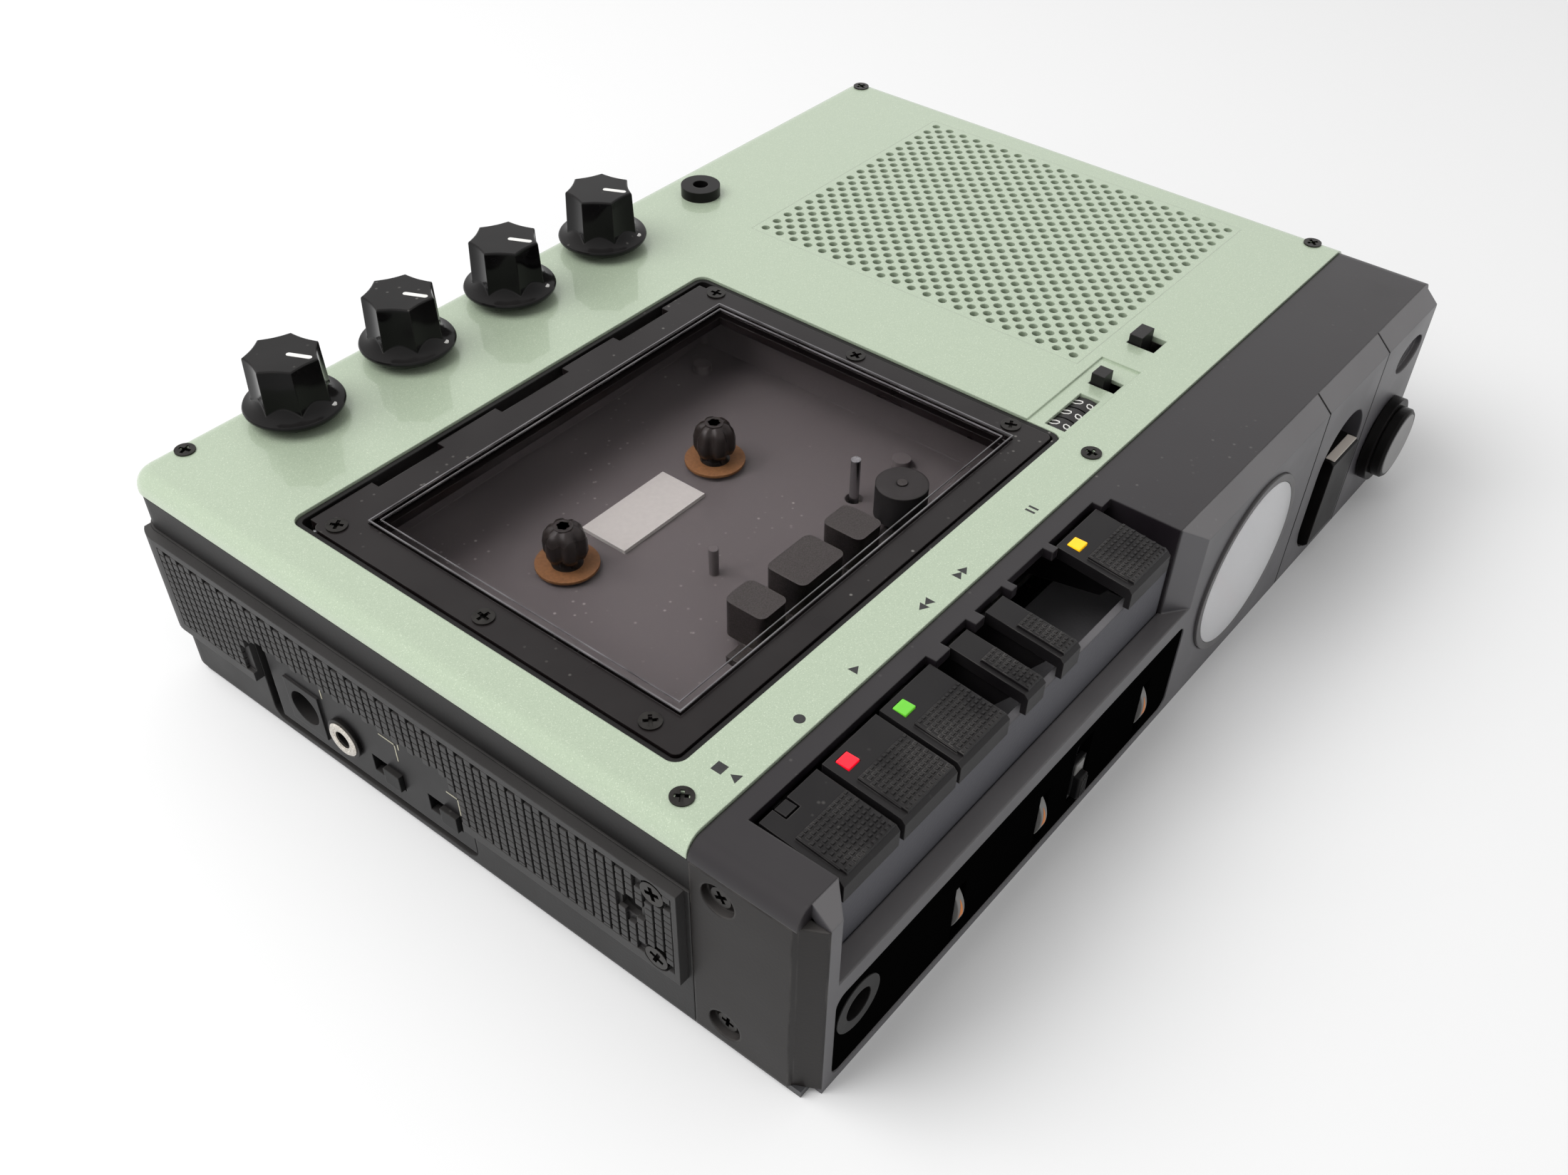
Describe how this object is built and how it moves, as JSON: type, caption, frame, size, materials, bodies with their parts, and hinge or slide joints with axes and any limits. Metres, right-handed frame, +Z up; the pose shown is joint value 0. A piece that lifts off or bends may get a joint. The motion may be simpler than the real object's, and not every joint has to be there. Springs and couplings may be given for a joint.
{
  "type": "tape echo unit",
  "caption": "Portable cassette tape echo with piano keys, lift-up cassette door, rotary knobs, level meter, loudspeaker and side sockets.",
  "frame": {"origin": "middle of the case's footprint, on the surface it stands on", "axes": "+X along the long front edge away from the socket side, +Y from the key row to the knob row, +Z up"},
  "size_m": [0.2292, 0.168, 0.0614],
  "materials": {
    "cover_green": "satin",
    "case_black": "fine texture",
    "trim_black": "fine texture",
    "panel_black": "satin",
    "grip_black": "textured",
    "front_window": "polished",
    "clear_window": "polished",
    "lens": "polished",
    "dark_screw": "blackened",
    "steel": "brushed",
    "base_steel": "satin",
    "deck_black": "satin",
    "reflector": "satin",
    "key_black": "satin",
    "knob_black": "matte",
    "wheel_grey": "ribbed",
    "handle_grey": "satin",
    "meter_black": "satin",
    "needle_red": "matte",
    "digit_black": "matte",
    "brass": "plain",
    "roller_rubber": "matte",
    "board_green": "lacquered",
    "speaker_cone": "paper",
    "socket_metal": "polished"
  },
  "bodies": {
    "case": {"base_plate": "base_steel", "battery_bay": "case_black", "lower_case": "case_black", "upper_case": "case_black", "top_cover": "cover_green", "speaker_grille": "cover_green", "top_trim": "trim_black", "front_panel": "panel_black", "input_panel": "panel_black", "level_panel": "panel_black", "key_apron": "trim_black", "cheeks": "panel_black", "front_window": "front_window", "side_grips": "grip_black", "side_panel": "case_black", "case_screws": "dark_screw", "hinge_rods": "steel", "cassette_well": "deck_black", "reflector": "reflector", "chassis_plate": "steel", "drive_motor": "steel", "control_pots": "steel", "meter_body": "meter_black", "meter_lens": "lens", "counter_frame": "case_black", "jack_sockets": "socket_metal", "speaker_driver": "speaker_cone", "circuit_board": "board_green"},
    "battery_hatch": {"battery_hatch": "base_steel"},
    "cassette_door": {"cassette_door": "trim_black", "door_window": "clear_window", "door_screws": "dark_screw"},
    "spindle_supply": {"spindle_supply": "deck_black"},
    "spindle_takeup": {"spindle_takeup": "deck_black"},
    "capstan_flywheel": {"capstan_flywheel": "brass"},
    "head_carriage": {"head_carriage": "steel"},
    "pinch_roller": {"pinch_roller": "roller_rubber"},
    "level_ring": {"level_ring": "knob_black"},
    "level_knob": {"level_knob": "knob_black"},
    "tone_slider": {"tone_slider": "knob_black"},
    "input_lever": {"input_lever": "handle_grey"},
    "meter_needle": {"meter_needle": "needle_red"},
    "counter_wheels": {"counter_wheels": "digit_black"},
    "reset_button": {"reset_button": "knob_black"},
    "memory_button": {"memory_button": "knob_black"},
    "key_stop": {"key_stop": "key_black"},
    "key_record": {"key_record": "key_black"},
    "key_play": {"key_play": "key_black"},
    "key_rewind": {"key_rewind": "key_black"},
    "key_forward": {"key_forward": "key_black"},
    "key_pause": {"key_pause": "key_black"},
    "knob_1": {"knob_1": "knob_black"},
    "knob_2": {"knob_2": "knob_black"},
    "knob_3": {"knob_3": "knob_black"},
    "knob_4": {"knob_4": "knob_black"},
    "thumbwheel_1": {"thumbwheel_1": "wheel_grey"},
    "thumbwheel_2": {"thumbwheel_2": "wheel_grey"},
    "thumbwheel_3": {"thumbwheel_3": "wheel_grey"},
    "side_switch_1": {"side_switch_1": "knob_black"},
    "side_switch_2": {"side_switch_2": "knob_black"}
  },
  "joints": [
    {"name": "hatch_slide", "type": "slide", "parent": "case", "child": "battery_hatch", "axis": [0, 1, 0], "range_m": [0, 0.031]},
    {"name": "door_hinge", "type": "hinge", "parent": "case", "child": "cassette_door", "pos_m": [0, 0.0418, 0.0462], "axis": [-1, 0, 0], "range_deg": [0, 95]},
    {"name": "stop_press", "type": "hinge", "parent": "case", "child": "key_stop", "pos_m": [0, -0.05, 0.036], "axis": [1, 0, 0], "range_deg": [0, 5], "stiffness_Nm_per_rad": 0.02, "springref_deg": -11.46},
    {"name": "record_press", "type": "hinge", "parent": "case", "child": "key_record", "pos_m": [0, -0.05, 0.036], "axis": [1, 0, 0], "range_deg": [0, 5], "stiffness_Nm_per_rad": 0.02, "springref_deg": -11.46},
    {"name": "play_press", "type": "hinge", "parent": "case", "child": "key_play", "pos_m": [0, -0.05, 0.036], "axis": [1, 0, 0], "range_deg": [0, 5], "stiffness_Nm_per_rad": 0.02, "springref_deg": -11.46},
    {"name": "rewind_press", "type": "hinge", "parent": "case", "child": "key_rewind", "pos_m": [0, -0.05, 0.036], "axis": [1, 0, 0], "range_deg": [0, 5], "stiffness_Nm_per_rad": 0.02, "springref_deg": -11.46},
    {"name": "forward_press", "type": "hinge", "parent": "case", "child": "key_forward", "pos_m": [0, -0.05, 0.036], "axis": [1, 0, 0], "range_deg": [0, 5], "stiffness_Nm_per_rad": 0.02, "springref_deg": -11.46},
    {"name": "pause_press", "type": "hinge", "parent": "case", "child": "key_pause", "pos_m": [0, -0.05, 0.036], "axis": [1, 0, 0], "range_deg": [0, 5], "stiffness_Nm_per_rad": 0.02, "springref_deg": -11.46},
    {"name": "knob_1_turn", "type": "hinge", "parent": "case", "child": "knob_1", "pos_m": [-0.0804, 0.0712, 0.05], "axis": [0, 0, 1], "range_deg": [-150, 150]},
    {"name": "knob_2_turn", "type": "hinge", "parent": "case", "child": "knob_2", "pos_m": [-0.05205, 0.0712, 0.05], "axis": [0, 0, 1], "range_deg": [-150, 150]},
    {"name": "knob_3_turn", "type": "hinge", "parent": "case", "child": "knob_3", "pos_m": [-0.0237, 0.0712, 0.05], "axis": [0, 0, 1], "range_deg": [-150, 150]},
    {"name": "knob_4_turn", "type": "hinge", "parent": "case", "child": "knob_4", "pos_m": [0.00465, 0.0712, 0.05], "axis": [0, 0, 1], "range_deg": [-150, 150]},
    {"name": "level_ring_turn", "type": "hinge", "parent": "case", "child": "level_ring", "pos_m": [0.0978, -0.084, 0.016], "axis": [0, 1, 0], "range_deg": [-150, 150]},
    {"name": "level_knob_turn", "type": "hinge", "parent": "case", "child": "level_knob", "pos_m": [0.0978, -0.084, 0.016], "axis": [0, 1, 0], "range_deg": [-150, 150]},
    {"name": "thumbwheel_1_turn", "type": "hinge", "parent": "case", "child": "thumbwheel_1", "pos_m": [-0.0716, -0.0738, 0.0102], "axis": [1, 0, 0], "range_deg": [-135, 135]},
    {"name": "thumbwheel_2_turn", "type": "hinge", "parent": "case", "child": "thumbwheel_2", "pos_m": [-0.0451, -0.0738, 0.0102], "axis": [1, 0, 0], "range_deg": [-135, 135]},
    {"name": "thumbwheel_3_turn", "type": "hinge", "parent": "case", "child": "thumbwheel_3", "pos_m": [-0.0088, -0.0738, 0.0102], "axis": [1, 0, 0], "range_deg": [-135, 135]},
    {"name": "tone_slide", "type": "slide", "parent": "case", "child": "tone_slider", "axis": [0, 0, 1], "range_m": [0, 0.0058]},
    {"name": "input_slide", "type": "slide", "parent": "case", "child": "input_lever", "axis": [0, 0, 1], "range_m": [0, 0.005]},
    {"name": "side_switch_1_slide", "type": "slide", "parent": "case", "child": "side_switch_1", "axis": [0, 1, 0], "range_m": [0, 0.0038]},
    {"name": "side_switch_2_slide", "type": "slide", "parent": "case", "child": "side_switch_2", "axis": [0, 1, 0], "range_m": [0, 0.0038]},
    {"name": "needle_swing", "type": "hinge", "parent": "case", "child": "meter_needle", "pos_m": [0.0273, -0.078, 0.0147], "axis": [0, 1, 0], "range_deg": [0, 84]},
    {"name": "counter_spin", "type": "hinge", "parent": "case", "child": "counter_wheels", "pos_m": [0.017, -0.04345, 0.0422], "axis": [1, 0, 0], "continuous": true},
    {"name": "reset_press", "type": "slide", "parent": "case", "child": "reset_button", "axis": [0, 0, -1], "range_m": [0, 0.0015], "stiffness_N_per_m": 50, "springref_m": -0.002},
    {"name": "memory_press", "type": "slide", "parent": "case", "child": "memory_button", "axis": [0, 0, -1], "range_m": [0, 0.0015], "stiffness_N_per_m": 50, "springref_m": -0.002},
    {"name": "supply_spin", "type": "hinge", "parent": "case", "child": "spindle_supply", "pos_m": [-0.0674, 0.0132, 0.035], "axis": [0, 0, 1], "continuous": true},
    {"name": "takeup_spin", "type": "hinge", "parent": "case", "child": "spindle_takeup", "pos_m": [-0.0249, 0.0132, 0.035], "axis": [0, 0, 1], "continuous": true},
    {"name": "capstan_spin", "type": "hinge", "parent": "case", "child": "capstan_flywheel", "pos_m": [-0.0159, -0.0155, 0.024], "axis": [0, 0, 1], "continuous": true},
    {"name": "head_slide", "type": "slide", "parent": "case", "child": "head_carriage", "axis": [0, 1, 0], "range_m": [0, 0.0048]},
    {"name": "roller_spin", "type": "hinge", "parent": "head_carriage", "child": "pinch_roller", "pos_m": [-0.0159, -0.0266, 0.038], "axis": [0, 0, 1], "continuous": true}
  ],
  "couplings": [
    {"joint": "play_press", "follows": "head_slide", "rad_per_m": 18.181}
  ]
}
